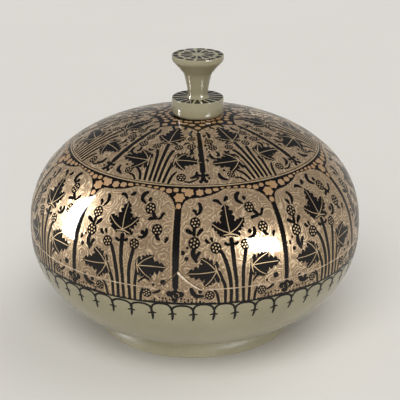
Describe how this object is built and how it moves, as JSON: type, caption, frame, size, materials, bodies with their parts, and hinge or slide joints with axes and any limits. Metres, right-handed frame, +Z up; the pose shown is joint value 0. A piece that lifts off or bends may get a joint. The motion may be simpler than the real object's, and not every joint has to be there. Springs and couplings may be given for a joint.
{
  "type": "lidded sweet box",
  "caption": "Round lacquered papier-mache box for sweets, with a keyed lift-off lid, a turned knob and a flared foot ring.",
  "frame": {"origin": "middle of the foot ring's resting face, on the box's turning axis", "axes": "+Z up along the turning axis; -Y is the front, 5 degrees from the lid's key"},
  "size_m": [0.178, 0.178, 0.1491],
  "materials": {
    "cream_lacquer": "gloss lacquer over painted papier-mache",
    "gilt_lacquer": "gloss lacquer over gold ground painted in black",
    "turned_wood": "gloss lacquer over cream paint",
    "rim_card": "satin black paint on card hoop",
    "bare_wood": "plain turned wood"
  },
  "bodies": {
    "base": {"base_bowl": "cream_lacquer", "foot_ring": "turned_wood", "locating_hoop": "rim_card"},
    "lid": {"lid_dome": "gilt_lacquer", "knob_collar": "turned_wood", "knob_spool": "turned_wood", "knob_dowel": "bare_wood", "dowel_backing": "bare_wood"}
  },
  "joints": [
    {"name": "lid_lift", "type": "slide", "parent": "base", "child": "lid", "axis": [0, 0, 1], "range_m": [0, 0.12]}
  ]
}
